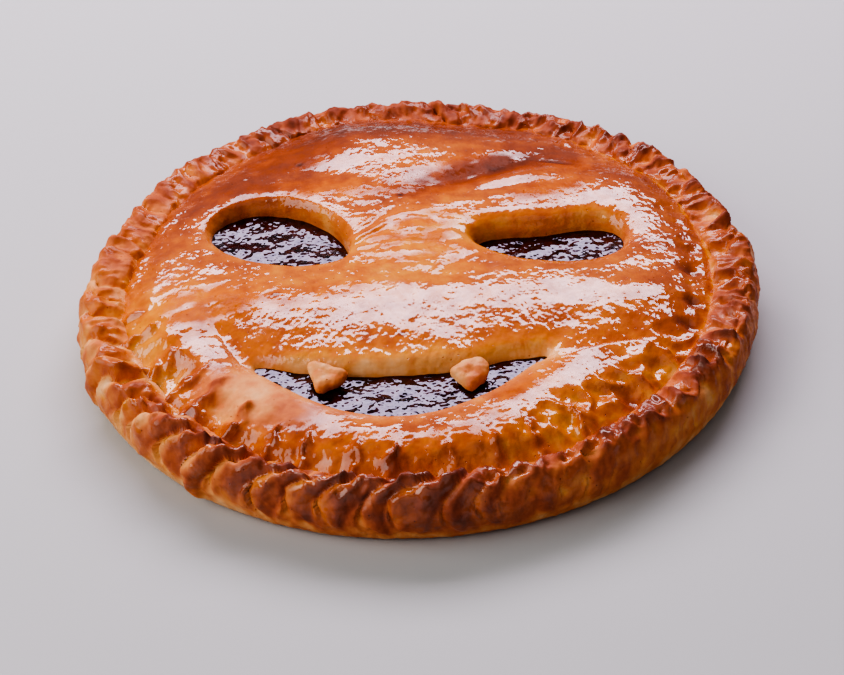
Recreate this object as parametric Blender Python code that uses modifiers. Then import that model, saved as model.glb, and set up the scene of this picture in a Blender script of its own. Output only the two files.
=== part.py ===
"""A round pie of yeast dough with a cut-out face, at its real size, in metres.

The bottom crust is a dish of dough whose edge is folded over into a rope of leaning pleats. The top
crust lies on the dish's ledge, pressed down all round by thumb dents, and has two eyes and a mouth cut
through it, each with a thick rounded lip. Dark jam runs through the whole pie and shows in the
openings. Two small dough fangs hang from the upper lip. +Z is up, the pie stands on z = 0 about the
origin, and the mouth is towards -Y.
"""

import math
import random
from collections import namedtuple

import bmesh
import bpy
from mathutils import Matrix, Vector

MM = 0.001

# The pie as a whole.
PIE_RADIUS = 150 * MM
CREST_HEIGHT = 28 * MM  # the rope of pleats, without its tips
GAP = 0.3 * MM  # between two pieces that touch
AXIS_MERGE = 0.01 * MM

# The bottom crust.
FLOOR_THICKNESS = 9 * MM
FOOT_RADIUS = PIE_RADIUS - 6.5 * MM
DISH_RADIUS = 130 * MM  # of the space that the jam fills
LEDGE_HEIGHT = 17 * MM  # what the top crust lies on
SEAM_RADIUS = 137 * MM  # where the rope meets the top crust
SEAM_HEIGHT = 24.5 * MM
CREST_RADIUS = PIE_RADIUS - 5.5 * MM

# The rope of pleats, each drawn in four steps, of which the first lies in a crease. A pleat's top runs
# slantwise across the rope, from the outside at its low start to the inside at its tip.
PLEATS = 60
PLEAT_UNEVENNESS = 0.22  # of a pleat's width
PLEAT_LEAN = 1.1  # pleats that one leans by, from the foot to the crest
PLEAT_SWELL = (-1.9 * MM, 0.4 * MM, 1.1 * MM, 0.9 * MM)
PLEAT_TOP_OUT = (1.6 * MM, 1.2 * MM, -0.6 * MM, -2.6 * MM)
PLEAT_TOP_UP = (-1.9 * MM, -0.5 * MM, 0.9 * MM, 1.5 * MM)
PLEAT_TIPS_CHANGE = 0.35  # tips stand higher at the front than at the back by this share of the mean

# Where the pie is out of round: the angle and half width in degrees, and how far its side moves out.
SideSwell = namedtuple("SideSwell", "angle half_width out")
SIDE_SWELLS = (
    SideSwell(75, 14, -4.0 * MM),
    SideSwell(105, 9, 2.6 * MM),
    SideSwell(162, 13, -3.2 * MM),
    SideSwell(196, 18, 1.0 * MM),
    SideSwell(-4, 16, 1.4 * MM),
)
ROUND_RADIUS = 95 * MM  # the pie is round inside this

# The thumb dents round the top crust, each drawn in four steps: a ridge, then three points of its floor.
DENTS = 42
DENT_UNEVENNESS = 0.16
DENT_STEPS = (-0.16, 0.72, 1.0, 0.72)  # of its depth
DENT_RADIUS = 127 * MM
DENT_HALF_LENGTH = 10 * MM
DENT_DEPTH = 4.4 * MM
DENT_DEPTH_CHANGE = 1.9 * MM  # deepest at the front left, shallowest at the back right
DEEPEST_DENT = math.radians(238)

# The top crust.
DOME_HEIGHT = 36 * MM
DOME_SHOULDER = 4  # the power of the radius with which the dome falls to its edge
LIP_RADIUS = 4.4 * MM  # half the thickness of the dough round an opening
THINNEST_CRUST = 2.4 * MM  # under a dent
JAM_HEIGHT = 25 * MM
JAM_SHOULDER = 108 * MM  # the jam slopes down to the ledge outside this
JAM_RIPPLE = 0.35 * MM

# A swell or a hollow of the top crust, in millimetres and degrees: its middle, half length, half width,
# turn and height.
Swell = namedtuple("Swell", "x y length width turn height")
FACE_SWELLS = (
    Swell(-8, 98, 44, 15, 0, 1.5),  # forehead
    Swell(18, 76, 62, 8, 7, -2.0),  # furrow over the brows
    Swell(-62, 66, 36, 9, -14, 1.8),  # left brow
    Swell(62, 40, 38, 10, 2, 2.2),  # right brow
    Swell(0, 32, 13, 26, 0, 1.3),  # bridge of the nose
    Swell(4, -5, 74, 7, 0, -1.3),  # hollow under the eyes
    Swell(4, -36, 82, 15, 0, 2.0),  # cheeks
    Swell(78, -60, 30, 4, 16, -2.2),  # smile crease, right
    Swell(82, -72, 30, 6, 18, 1.6),  # fold under it
    Swell(-80, -50, 22, 4, -48, -1.8),  # smile crease, left
    Swell(-4, -112, 52, 6, 0, 0.8),  # chin
    Swell(82, -97, 8, 6, 0, -2.4),  # finger mark
)

# The openings' outlines, as points in millimetres that a smooth closed curve passes through.
LEFT_EYE = ((-93, 37), (-86, 49), (-72, 54), (-56, 51), (-42, 41), (-31, 24), (-32, 8), (-50, 3), (-70, 8), (-86, 21))
RIGHT_EYE = ((27, 17), (37, 24), (60, 25), (83, 27), (94, 19), (91, 5), (74, -4), (52, -2), (36, 6))
MOUTH = ((-69, -63), (-55, -64), (-30, -67), (-5, -68), (20, -67), (38, -64), (53, -65), (44, -81), (22, -96),
         (-6, -102), (-32, -96), (-53, -82))
CURVE_STEPS = 3  # points of the smooth curve for each point of an outline

# The fangs: the middle of each, its turn, and the size of the triangle that is softened into it.
LEFT_FANG = (-39.5 * MM, -74.3 * MM, math.radians(-22))
RIGHT_FANG = (19.5 * MM, -75.0 * MM, math.radians(5))
FANG_RADIUS = 13 * MM
FANG_LENGTH_SHARE = 0.8  # of the length that an even triangle would have
FANG_THICKNESS = 6.5 * MM
FANG_TILT = math.radians(20)
FANG_HEIGHT = 30.2 * MM

# Colours, roughness.
GOLDEN_CRUST = ((0.56, 0.20, 0.04, 1), 0.35)
BROWNED_CRUST = ((0.50, 0.15, 0.03, 1), 0.30)
DARK_JAM = ((0.035, 0.006, 0.004, 1), 0.12)
PALE_DOUGH = ((0.68, 0.36, 0.14, 1), 0.55)


def material(name, look):
    """A Principled material of one colour and roughness."""
    colour, roughness = look
    made = bpy.data.materials.new(name)
    made.use_nodes = True
    shader = made.node_tree.nodes["Principled BSDF"]
    shader.inputs["Base Color"].default_value = colour
    shader.inputs["Roughness"].default_value = roughness
    shader.inputs["Metallic"].default_value = 0
    return made


def uneven_angles(count, unevenness, seed):
    """count + 1 angles once round, whose spacing varies by the share unevenness of a step."""
    draw = random.Random(seed)
    step = 2 * math.pi / count
    angles = [step * (i + unevenness * draw.uniform(-1, 1)) for i in range(count)]
    return angles + [angles[0] + 2 * math.pi]


def smooth_loop(points, steps):
    """Points of a Catmull-Rom curve through a closed outline in millimetres, as vectors in metres."""
    loop = [Vector(p) * MM for p in points]
    found = []
    for i in range(len(loop)):
        before, start, end, after = (loop[(i + k) % len(loop)] for k in (-1, 0, 1, 2))
        for j in range(steps):
            t = j / steps
            bend = 2 * before - 5 * start + 4 * end - after
            twist = 3 * (start - end) + after - before
            found.append(0.5 * (2 * start + (end - before) * t + bend * t**2 + twist * t**3))
    return found


def widened(loop, distance):
    """The loop moved outwards by distance, point by point."""
    area = sum(loop[i - 1].cross(loop[i]) for i in range(len(loop)))
    side = math.copysign(distance, area)
    found = []
    for i, point in enumerate(loop):
        along = (loop[(i + 1) % len(loop)] - loop[i - 1]).normalized()
        found.append(point + Vector((along.y, -along.x)) * side)
    return found


def top_height(x, y):
    """Height of the top crust's surface at a point, without its thumb dents."""
    share = min(math.hypot(x, y) / SEAM_RADIUS, 1)
    height = SEAM_HEIGHT + (DOME_HEIGHT - SEAM_HEIGHT) * (1 - share**DOME_SHOULDER)
    for swell in FACE_SWELLS:
        turn = math.radians(swell.turn)
        across, up = x / MM - swell.x, y / MM - swell.y
        along = (across * math.cos(turn) + up * math.sin(turn)) / swell.length
        aside = (up * math.cos(turn) - across * math.sin(turn)) / swell.width
        height += swell.height * MM * math.exp(-(along**2) - aside**2)
    return height


def jam_height(radius):
    """Height of the jam's surface, which slopes down to the ledge at its edge."""
    share = max(0, (radius - JAM_SHOULDER) / (DISH_RADIUS - JAM_SHOULDER))
    return JAM_HEIGHT - (JAM_HEIGHT - LEDGE_HEIGHT) * share


def turned(name, profile, steps):
    """A mesh made by turning an outline of (radius, height) about Z with a Screw modifier."""
    outline = bpy.data.meshes.new(name)
    edges = [(i, i + 1) for i in range(len(profile) - 1)]
    outline.from_pydata([(radius, 0, height) for radius, height in profile], edges, [])
    guide = bpy.data.objects.new(name + "_outline", outline)
    bpy.context.scene.collection.objects.link(guide)
    screw = guide.modifiers.new("Turn", "SCREW")
    screw.steps = screw.render_steps = steps
    screw.use_merge_vertices = True
    screw.merge_threshold = AXIS_MERGE
    mesh = applied(guide)
    mesh.name = name
    return mesh


def applied(source):
    """The mesh that an object and its modifiers make. The object is removed."""
    graph = bpy.context.evaluated_depsgraph_get()
    mesh = bpy.data.meshes.new_from_object(source.evaluated_get(graph))
    mesh.transform(source.matrix_world)
    bpy.data.objects.remove(source)
    return mesh


def piece(name, mesh, look, collection):
    """A smooth-shaded object of the pie, with its material."""
    obj = bpy.data.objects.new(name, mesh)
    mesh.materials.clear()
    mesh.materials.append(material(name, look))
    mesh.shade_smooth()
    mesh.set_sharp_from_angle(angle=math.radians(50))
    collection.objects.link(obj)
    return obj


def step_of(vertex, steps):
    """Which of the steps round the axis a turned vertex lies on."""
    return round(math.atan2(vertex.y, vertex.x) / (2 * math.pi) * steps) % steps


def out_of_round(place):
    """Move a vertex near the pie's side in or out, as the pie isn't quite round."""
    radius = math.hypot(place.x, place.y)
    if radius < ROUND_RADIUS:
        return
    angle = math.degrees(math.atan2(place.y, place.x))
    share = min(1, (radius - ROUND_RADIUS) / (DISH_RADIUS - ROUND_RADIUS))
    out = sum(s.out * math.exp(-((math.remainder(angle - s.angle, 360) / s.half_width) ** 2)) for s in SIDE_SWELLS)
    scale = 1 + share * out / radius
    place.x *= scale
    place.y *= scale


def bottom_crust(collection):
    """The dish of dough, with its edge folded into a rope of leaning pleats."""
    profile = (
        (0, FLOOR_THICKNESS),
        (DISH_RADIUS, FLOOR_THICKNESS),
        (DISH_RADIUS, LEDGE_HEIGHT),
        (SEAM_RADIUS, LEDGE_HEIGHT),
        (SEAM_RADIUS, SEAM_HEIGHT),
        (CREST_RADIUS - 3.5 * MM, CREST_HEIGHT - 1.2 * MM),
        (CREST_RADIUS, CREST_HEIGHT),
        (PIE_RADIUS - 1.5 * MM, CREST_HEIGHT - 4 * MM),
        (PIE_RADIUS, CREST_HEIGHT * 0.6),
        (PIE_RADIUS - 0.5 * MM, CREST_HEIGHT * 0.3),
        (FOOT_RADIUS + 3.5 * MM, 2.2 * MM),
        (FOOT_RADIUS, 0),
        (0, 0),
    )
    steps = len(PLEAT_SWELL) * PLEATS
    mesh = turned("bottom_crust", profile, steps)
    angles = uneven_angles(PLEATS, PLEAT_UNEVENNESS, seed=3)
    draw = random.Random(11)
    sizes = [draw.uniform(0.6, 1.35) for _ in range(PLEATS)]
    for vertex in mesh.vertices:
        place = vertex.co
        radius, height = math.hypot(place.x, place.y), place.z
        if radius > SEAM_RADIUS + GAP:
            pleat, step = divmod(step_of(place, steps), len(PLEAT_SWELL))
            angle = angles[pleat] + (angles[pleat + 1] - angles[pleat]) * step / len(PLEAT_SWELL)
            up = height / CREST_HEIGHT
            if height > 0:
                radius += PLEAT_SWELL[step] * sizes[pleat] * min(1, 0.35 + 1.3 * up)
            if height > SEAM_HEIGHT + GAP:
                radius += PLEAT_TOP_OUT[step]
                tips = 1 + PLEAT_TIPS_CHANGE * math.cos(angle - DEEPEST_DENT)
                place.z += PLEAT_TOP_UP[step] * sizes[pleat] * tips
            angle += PLEAT_LEAN * up * 2 * math.pi / PLEATS
            place.x, place.y = radius * math.cos(angle), radius * math.sin(angle)
        out_of_round(place)
    return piece("bottom_crust", mesh, GOLDEN_CRUST, collection)


def dented_sheet():
    """The top crust's mesh, before its openings: a dome with thumb dents, on a flat rim and over the jam."""
    edge = SEAM_RADIUS - GAP
    dent_rings = [DENT_RADIUS + DENT_HALF_LENGTH * share for share in (-1.1, -0.6, -0.15, 0.3, 0.7)]
    dome_rings = [radius * MM for radius in (0, 26, 48, 68, 84, 97, 107)]
    under = [JAM_SHOULDER * share for share in (0, 0.55, 1)]
    profile = [(radius, jam_height(radius) + GAP) for radius in under]
    profile += [(DISH_RADIUS, LEDGE_HEIGHT + GAP), (edge, LEDGE_HEIGHT + GAP)]
    profile += [(radius, DOME_HEIGHT) for radius in (edge, *reversed(dent_rings), *reversed(dome_rings))]
    steps = len(DENT_STEPS) * DENTS
    mesh = turned("top_crust", profile[::-1], steps)
    angles = uneven_angles(DENTS, DENT_UNEVENNESS, seed=5)
    draw = random.Random(23)
    sizes = [draw.uniform(0.7, 1.25) for _ in range(DENTS)]
    for vertex in mesh.vertices:
        place = vertex.co
        radius = math.hypot(place.x, place.y)
        if place.z < DOME_HEIGHT - GAP:
            continue
        dent, step = divmod(step_of(place, steps), len(DENT_STEPS))
        turn = angles[dent] + (angles[dent + 1] - angles[dent]) * step / len(DENT_STEPS)
        follow = min(1, radius / DENT_RADIUS) ** 3
        angle = math.atan2(place.y, place.x)
        angle += follow * math.remainder(turn - angle, 2 * math.pi)
        if radius < edge - GAP:
            place.x, place.y = radius * math.cos(angle), radius * math.sin(angle)
        place.z = top_height(place.x, place.y)
        reach = math.exp(-(((radius - DENT_RADIUS) / (0.75 * DENT_HALF_LENGTH)) ** 2))
        depth = DENT_DEPTH + DENT_DEPTH_CHANGE * math.cos(angle - DEEPEST_DENT)
        place.z -= depth * sizes[dent] * DENT_STEPS[step] * reach
        place.z = max(place.z, LEDGE_HEIGHT + THINNEST_CRUST)
    for vertex in mesh.vertices:
        out_of_round(vertex.co)
    return mesh


def opening_cutter(name, loop, cutters):
    """A prism through the top crust, a little wider than the opening, whose edge the lip then covers."""
    drawing = bmesh.new()
    outline = [drawing.verts.new((p.x, p.y, 0)) for p in widened(loop, LIP_RADIUS)]
    face = drawing.faces.new(outline)
    made = bmesh.ops.extrude_face_region(drawing, geom=[face])
    top = [v for v in made["geom"] if isinstance(v, bmesh.types.BMVert)]
    bmesh.ops.translate(drawing, vec=(0, 0, 2 * DOME_HEIGHT), verts=top)
    bmesh.ops.recalc_face_normals(drawing, faces=drawing.faces)
    mesh = bpy.data.meshes.new(name)
    drawing.to_mesh(mesh)
    drawing.free()
    cutter = bpy.data.objects.new(name, mesh)
    cutter.hide_render = True
    cutter.display_type = "WIRE"
    cutters.objects.link(cutter)
    return cutter


def lip(name, loop, cutters):
    """The rounded edge of the dough round an opening, as a tube along the outline."""
    path = bpy.data.curves.new(name, "CURVE")
    path.dimensions = "3D"
    path.bevel_depth = LIP_RADIUS
    path.bevel_resolution = 1
    spline = path.splines.new("POLY")
    middle = widened(loop, LIP_RADIUS)
    spline.points.add(len(middle) - 1)
    spline.use_cyclic_u = True
    for point, place in zip(spline.points, middle):
        height = max(top_height(place.x, place.y), JAM_HEIGHT + 2 * GAP + 2 * LIP_RADIUS)
        point.co = (place.x, place.y, height - LIP_RADIUS, 1)
    guide = bpy.data.objects.new(name + "_path", path)
    bpy.context.scene.collection.objects.link(guide)
    tube = bpy.data.objects.new(name, applied(guide))
    tube.hide_render = True
    tube.display_type = "WIRE"
    cutters.objects.link(tube)
    return tube


def top_crust(collection, cutters):
    """The dome of dough with its openings cut and their lips joined on."""
    crust = piece("top_crust", dented_sheet(), BROWNED_CRUST, collection)
    outlines = {"left_eye": LEFT_EYE, "right_eye": RIGHT_EYE, "mouth": MOUTH}
    loops = {name: smooth_loop(points, CURVE_STEPS) for name, points in outlines.items()}
    for name, loop in loops.items():
        cut = crust.modifiers.new("Cut " + name, "BOOLEAN")
        cut.operation = "DIFFERENCE"
        cut.object = opening_cutter(name + "_cutter", loop, cutters)
    for name, loop in loops.items():
        join = crust.modifiers.new("Join " + name, "BOOLEAN")
        join.operation = "UNION"
        join.object = lip(name + "_lip", loop, cutters)
    return crust


def filling(collection):
    """The jam: a disc that fills the dish, with a rippled surface."""
    rim = DISH_RADIUS - GAP
    rings = [share * JAM_SHOULDER for share in (0, 0.15, 0.3, 0.45, 0.6, 0.75, 0.9, 1)]
    profile = [(radius, jam_height(radius)) for radius in rings]
    profile += [(rim, LEDGE_HEIGHT - GAP), (rim, FLOOR_THICKNESS + GAP), (0, FLOOR_THICKNESS + GAP)]
    mesh = turned("filling", profile, 60)
    draw = random.Random(7)
    for vertex in mesh.vertices:
        if vertex.co.z > JAM_HEIGHT - GAP:
            vertex.co.z -= JAM_RIPPLE * (1 + draw.uniform(-1, 1))
        out_of_round(vertex.co)
    return piece("filling", mesh, DARK_JAM, collection)


def fang(name, place, collection):
    """A small triangle of dough with soft corners, pointing down over the jam."""
    x, y, turn = place
    drawing = bmesh.new()
    bmesh.ops.create_cone(
        drawing, cap_ends=True, segments=3, radius1=FANG_RADIUS, radius2=0.8 * FANG_RADIUS, depth=FANG_THICKNESS
    )
    crease = drawing.edges.layers.float.new("crease_edge")
    for edge in drawing.edges:
        edge[crease] = 0.45
    mesh = bpy.data.meshes.new(name)
    drawing.to_mesh(mesh)
    drawing.free()
    mesh.transform(Matrix.Rotation(math.radians(180), 4, "Z"))
    obj = piece(name, mesh, PALE_DOUGH, collection)
    soften = obj.modifiers.new("Soften", "SUBSURF")
    soften.levels = soften.render_levels = 2
    obj.scale.y = FANG_LENGTH_SHARE
    obj.rotation_euler = (FANG_TILT, 0, turn)
    obj.location = (x, y, FANG_HEIGHT)
    return obj


def main():
    for obj in list(bpy.data.objects):
        bpy.data.objects.remove(obj)
    pie = bpy.data.collections.new("pie")
    cutters = bpy.data.collections.new("cutters")
    bpy.context.scene.collection.children.link(pie)
    bpy.context.scene.collection.children.link(cutters)
    bottom_crust(pie)
    top_crust(pie, cutters)
    filling(pie)
    fang("left_fang", LEFT_FANG, pie)
    fang("right_fang", RIGHT_FANG, pie)


main()
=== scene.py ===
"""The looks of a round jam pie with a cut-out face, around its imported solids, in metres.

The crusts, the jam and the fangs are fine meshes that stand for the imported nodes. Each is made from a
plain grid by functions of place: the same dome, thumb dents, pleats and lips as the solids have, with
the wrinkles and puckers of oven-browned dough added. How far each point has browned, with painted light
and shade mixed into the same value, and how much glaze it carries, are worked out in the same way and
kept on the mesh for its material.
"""

import itertools
import math
from collections import namedtuple
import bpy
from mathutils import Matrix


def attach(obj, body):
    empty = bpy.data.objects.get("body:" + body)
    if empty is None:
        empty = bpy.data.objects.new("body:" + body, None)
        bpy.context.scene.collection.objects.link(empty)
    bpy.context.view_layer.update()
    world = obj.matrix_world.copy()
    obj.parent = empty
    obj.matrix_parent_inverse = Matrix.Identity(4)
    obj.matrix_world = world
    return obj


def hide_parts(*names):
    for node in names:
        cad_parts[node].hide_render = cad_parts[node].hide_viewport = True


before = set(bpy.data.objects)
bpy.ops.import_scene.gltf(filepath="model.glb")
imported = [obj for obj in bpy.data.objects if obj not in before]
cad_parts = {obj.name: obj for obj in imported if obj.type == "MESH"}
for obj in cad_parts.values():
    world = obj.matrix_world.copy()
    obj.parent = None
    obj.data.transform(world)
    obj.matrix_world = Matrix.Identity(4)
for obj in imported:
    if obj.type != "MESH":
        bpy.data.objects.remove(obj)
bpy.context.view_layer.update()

from types import SimpleNamespace

import bpy
import numpy as np
from mathutils import Matrix, Vector

MM = 0.001

# The photograph: where the pie's middle, at TARGET, lies in it, and how it was taken.
IMAGE_SIZE = (844, 675)
TARGET_PIXEL = (416.6, 293.1)
TARGET = Vector((0, 0, 15 * MM))
CAMERA_DISTANCE = 0.9
CAMERA_ELEVATION = math.radians(36.07)
CAMERA_ROLL = math.radians(3.33)
FOCAL_PIXELS = 2006
SENSOR_WIDTH = 36

# Sizes that the solids share, in millimetres.
PIE_RADIUS = 150
CREST_HEIGHT = 28
SEAM_RADIUS = 137  # where the lid meets the rope
SEAM_HEIGHT = 24.5
LID_OVERLAP = 1.5  # how far the lid runs on under the rope
DOME_HEIGHT = 36
DOME_SHOULDER = 4  # the power by which the dome falls to the seam
DISH_RADIUS = 130  # inside of the bottom crust's wall
ROUND_RADIUS = 95  # nearer the middle than this, the pie stays round
JAM_HEIGHT = 25

# A swell stands highest at a place and falls away over a length and a width, turned by some degrees.
# Patches of colour and glaze have the same form.
Swell = namedtuple("Swell", "x y length width turn height")
FACE_SWELLS = (
    Swell(-16, 102, 34, 24, -4, 4.4),  # forehead
    Swell(66, 58, 48, 20, -8, 2.0),  # right brow
    Swell(30, 66, 30, 9, 24, -4.2),  # furrow beside the forehead
    Swell(62, 74, 30, 11, -12, -0.7),  # the furrow's right end
    Swell(102, 50, 18, 24, 0, 2.6),  # right end of the brow
    Swell(46, 52, 26, 5, 8, -1.3),  # gap in the brow
    Swell(-46, 77, 22, 8, -14, -1.0),  # hollow between the forehead and the left eye
    Swell(3, 27, 15, 17, 0, 1.4),  # bridge of the nose
    Swell(0, -25, 88, 16, 0, 1.5),  # cheeks
    Swell(97, -34, 20, 12, 0, 1.7),  # right cheekbone
    Swell(-108, -20, 10, 26, 0, 0.7),  # left temple
    Swell(-100, -64, 24, 16, -40, -1.4),  # left of the mouth
    Swell(0, -124, 76, 15, 0, 2.6),  # chin
    Swell(44, -98, 24, 10, 28, 2.0),  # lower lip, right
    Swell(38, -122, 46, 13, 14, 2.8),  # chin, right
    Swell(120, -13, 4.4, 3.2, -12, -2.4),  # thumb marks along the right edge
    Swell(118, -35, 4.6, 3.0, -20, -2.6),
    Swell(114, -49, 4.2, 3.0, -26, -2.2),
    Swell(122, 3, 4.0, 3.0, 0, -1.4),
    Swell(86, -95, 9, 6.5, -48, -3.8),  # finger mark
    Swell(69, 75, 8, 1.6, -22, -1.1),  # slit
)

# A fold runs along a line. Each side of it stands up or sinks by a height that dies away over a width.
Fold = namedtuple("Fold", "line left left_width right right_width")
LEFT_SMILE_LINE = ((-92, -24), (-86, -42), (-77, -60), (-66, -73))
RIGHT_SMILE_LINE = ((50, -75), (60, -72), (76, -67), (92, -63), (104, -68), (110, -79))
FOLDS = (
    Fold(LEFT_SMILE_LINE, -4.0, 12, -2.6, 8),
    Fold(RIGHT_SMILE_LINE, -3.4, 14, 1.3, 8),
    Fold(((34, 2), (22, -2), (13, -9), (9, -20)), -0.9, 5, -0.5, 3),  # from the right eye to the nose
    Fold(((-30, 12), (-22, 18), (-10, 27)), 0.7, 3, -0.6, 2.5),  # from the left eye's corner
    Fold(((-27, 22), (-19, 29), (-12, 37)), 0.5, 3, -0.5, 2.5),  # above that one
)

# A sector is a direction around the pie and the half width over which it falls away, in degrees. The right
# is at 0, the back at 90, the left at 180 and the front at 270.
Sector = namedtuple("Sector", "degrees half_width")
BACK = Sector(92, 48)
LEFT_TEMPLE = Sector(196, 34)
CRUMPLED_LID = Sector(312, 26)
DULL_LID = Sector(266, 36)

# How far the pie's side stands out of round.
SideSwell = namedtuple("SideSwell", "degrees half_width out")
SIDE_SWELLS = (
    SideSwell(75, 14, -4.0),
    SideSwell(105, 9, 2.6),
    SideSwell(162, 13, -3.2),
    SideSwell(196, 18, 1.0),
    SideSwell(-4, 16, 1.4),
)

LEFT_EYE = (
    (-93, 37), (-86, 49), (-72, 54), (-56, 51), (-42, 41), (-31, 24), (-32, 8), (-50, 4), (-70, 9.5),
    (-86, 22),
)
RIGHT_EYE = ((27, 17), (37, 24), (60, 25), (83, 27), (94, 19), (91, 5), (74, -4), (52, -2), (36, 6))
MOUTH = (
    (-69, -63), (-55, -65), (-30, -70), (-5, -71.5), (20, -70), (38, -65.5), (53, -65.5), (44, -75.5),
    (22, -92.5), (-6, -101), (-32, -95), (-53, -80.5),
)
OUTLINE_STEPS = 8
FAR = 45.0  # beyond this, distances from an opening do not matter

# The lips of each opening: the radius they are rolled to at its back and front, how far the crust sinks
# towards them there and over what reach, and the raised hem along the back.
Opening = namedtuple(
    "Opening", "outline back_radius front_radius back_sag back_reach front_sag front_reach hem"
)
OPENINGS = (
    Opening(LEFT_EYE, 3.6, 5.5, 3.6, 8.5, 2.8, 32, 0.6),
    Opening(RIGHT_EYE, 3.8, 5.0, 4.2, 9.5, 3.0, 13, 0),
    Opening(MOUTH, 6.0, 5.0, 4.8, 36, 3.0, 18, 0),
)
LIP_FOOT_DEPTH = 2.5  # below the jam's surface
LIP_GRID_INSIDE = 3.0  # how far into the opening the lip's grid starts
LIP_GRID_REACH = 12.0  # where the grid around an opening lies undisturbed
MOUTH_FROM, MOUTH_TO = -45, -60  # y over which the eyes' colours give way to the mouth's

# Thumb dents in the lid, beside the rope. Along the front they are deep, with ridges between them.
DENTS = 42
DENT_UNEVENNESS = 0.16
DENT_EDGE = 117  # radius of their inner edge
DENT_DEPTH = 1.1
FRONT_DENT_DEPTH = 4.0  # how much deeper they are along the front
FRONT_STARTS = (166, 208)  # degrees over which the deep dents set in
FRONT_STOPS = (300, 334)
DENT_MIDDLE = Sector(268, 34)  # where they are narrower and less deep
BOWLS = Sector(219, 15)  # where they reach furthest in
BOWL_RIDGES = Sector(219, 18)  # where the ridges are lower and paler
EVEN_RIDGES = Sector(228, 34)  # where the ridges are alike, and wider

# The rope of pleats.
PLEATS = 60
PLEAT_UNEVENNESS = 0.28
KNOBS = 38
KNOB_UNEVENNESS = 0.4
ROPE_SECTORS = {
    "front": Sector(268, 58),
    "middle": Sector(268, 36),
    "front_left": Sector(232, 46),
    "front_right": Sector(320, 34),
    "left": Sector(180, 34),
    "right": Sector(18, 44),
    "back": BACK,
    "leaning": Sector(255, 50),
    "pale_folds": Sector(222, 18),
    "pale_left": Sector(190, 34),
    "brown_right": Sector(48, 16),
}

# Pitches of the grids, and the points of the rope's grid.
LID_PITCH = 0.78
JAM_PITCH = 0.9
ROPE_ROUND = 1440
ROPE_ALONG = 68

TINY = 1e-9  # keeps divisions clear of zero
LATTICE = 256  # cells before the noise repeats; a power of 2
BLOCK = 4000  # points whose distances are worked out at a time


# -------- functions of place


def bumps(points, size, seed):
    """Smooth noise, about -1 to 1, at each point, with bumps of the given size."""
    draw = np.random.default_rng(seed)
    order = draw.permutation(LATTICE)
    slopes = draw.normal(size=(LATTICE, 3))
    slopes /= np.linalg.norm(slopes, axis=1)[:, None]
    places = points / size
    cell = np.floor(places).astype(int)
    inside = places - cell
    ease = inside**3 * (inside * (inside * 6 - 15) + 10)
    total = np.zeros(len(points))
    last = LATTICE - 1
    for corner in itertools.product((0, 1), repeat=3):
        at = cell + corner
        pick = order[(order[(order[at[:, 0] & last] + at[:, 1]) & last] + at[:, 2]) & last]
        share = np.prod(np.where(corner, ease, 1 - ease), axis=1)
        total += share * np.sum(slopes[pick] * (inside - corner), axis=1)
    return total * 1.6


def layered(points, size, seed, layers=3, fading=0.5):
    """Layers of bumps, each half the size of the one before."""
    total = np.zeros(len(points))
    for layer in range(layers):
        total += fading**layer * bumps(points, np.divide(size, 2**layer), seed + layer)
    return total


def ridged(points, size, seed, layers=2):
    """Sharp ridges between soft hollows, mostly between -1 and 1."""
    return 1 - 3.4 * np.abs(layered(points, size, seed, layers))


def eased(low, high, value):
    """0 at low, 1 at high, smooth between. It falls where low is the larger of the two."""
    share = np.clip((value - low) / (high - low), 0, 1)
    return share * share * (3 - 2 * share)


def hump(value, middle, half_width):
    """1 at the middle, falling away over the half width."""
    return np.exp(-(((value - middle) / half_width) ** 2))


def flat_points(x, y):
    return np.stack([x, y, np.zeros_like(x)], axis=1)


def polar_of(x, y):
    return np.hypot(x, y), np.arctan2(y, x)


def swelled(x, y, swells):
    """The sum of the swells' heights at each point."""
    total = np.zeros_like(x)
    for swell in swells:
        turn = math.radians(swell.turn)
        along = ((x - swell.x) * math.cos(turn) + (y - swell.y) * math.sin(turn)) / swell.length
        aside = ((y - swell.y) * math.cos(turn) - (x - swell.x) * math.sin(turn)) / swell.width
        total += swell.height * np.exp(-(along**2) - aside**2)
    return total


def uneven_angles(count, unevenness, seed):
    """Angles once around, and the first one again, each off its even place by a share of the step."""
    draw = np.random.default_rng(seed)
    step = 2 * math.pi / count
    angles = step * (np.arange(count) + unevenness * draw.uniform(-1, 1, count))
    return np.append(angles, angles[0] + 2 * math.pi)


def position_in(angles, angle):
    """Which interval of the angles each angle falls in, and how far through it."""
    around = np.mod(angle - angles[0], 2 * math.pi) + angles[0]
    index = np.clip(np.searchsorted(angles, around, side="right") - 1, 0, len(angles) - 2)
    share = (around - angles[index]) / (angles[index + 1] - angles[index])
    return index, share


def facing(angle, sector):
    """1 where the angle is the sector's, falling away over its half width."""
    off = np.remainder(np.degrees(angle) - sector.degrees + 180, 360) - 180
    return np.exp(-((off / sector.half_width) ** 2))


def side_shift(angle):
    """How far the pie's side stands out of round at each angle."""
    return sum(swell.out * facing(angle, swell) for swell in SIDE_SWELLS)


def out_of_round(x, y):
    """The places of points once the pie's side is pushed out of round."""
    radius, angle = polar_of(x, y)
    share = np.clip((radius - ROUND_RADIUS) / (DISH_RADIUS - ROUND_RADIUS), 0, 1)
    scale = 1 + share * side_shift(angle) / np.maximum(radius, 1)
    return x * scale, y * scale


def curve_point(before, start, end, after, share):
    """A point of the Catmull-Rom curve from start to end, with the points before and after them."""
    bend = 2 * before - 5 * start + 4 * end - after
    twist = 3 * (start - end) + after - before
    return 0.5 * (2 * start + (end - before) * share + bend * share**2 + twist * share**3)


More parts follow.
